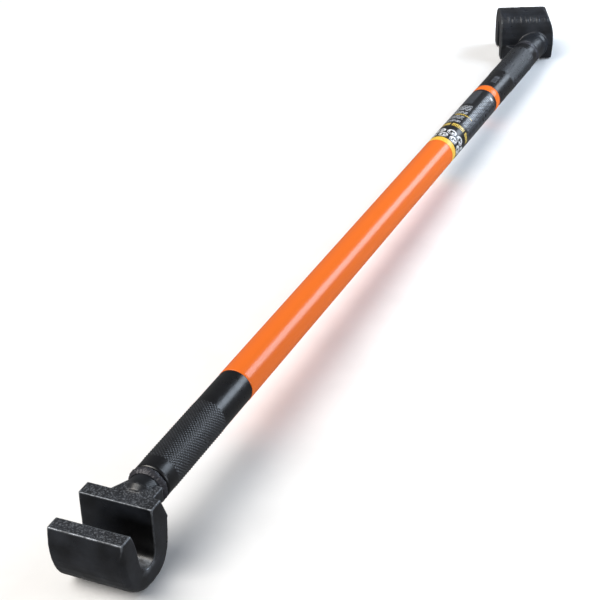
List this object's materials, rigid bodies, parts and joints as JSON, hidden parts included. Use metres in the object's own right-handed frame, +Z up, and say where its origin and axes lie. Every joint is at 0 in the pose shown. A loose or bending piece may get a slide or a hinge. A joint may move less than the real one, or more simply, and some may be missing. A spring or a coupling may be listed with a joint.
{
  "type": "rebar hickey bar",
  "caption": "Long straight bar tool with a forged J-shaped hook at each end and knurled grips, for bending reinforcing bar by hand leverage.",
  "frame": {"origin": "middle of the bottom of the bounding box, on the floor that the tool lies on", "axes": "+Z up; +Y along the tool from the hook that opens upwards to the hook that opens downwards; +X to the right of that"},
  "size_m": [0.0938, 1.2302, 0.0764],
  "materials": {
    "forged_steel": "black enamel over forged steel",
    "weld_metal": "glossy black over a rippled weld bead",
    "grip_steel": "blackened, diamond knurled",
    "tube_steel": "drawn tube",
    "orange_vinyl": "glossy",
    "label_border_film": "glossy printed film",
    "label_film": "glossy printed film"
  },
  "bodies": {
    "root": {"near_hook": "forged_steel", "near_weld_bead": "weld_metal", "near_grip": "grip_steel", "centre_tube": "tube_steel", "orange_sleeve": "orange_vinyl", "label_border": "label_border_film", "label_wrap": "label_film", "far_grip": "grip_steel", "far_weld_bead": "weld_metal", "far_hook": "forged_steel"}
  },
  "joints": []
}
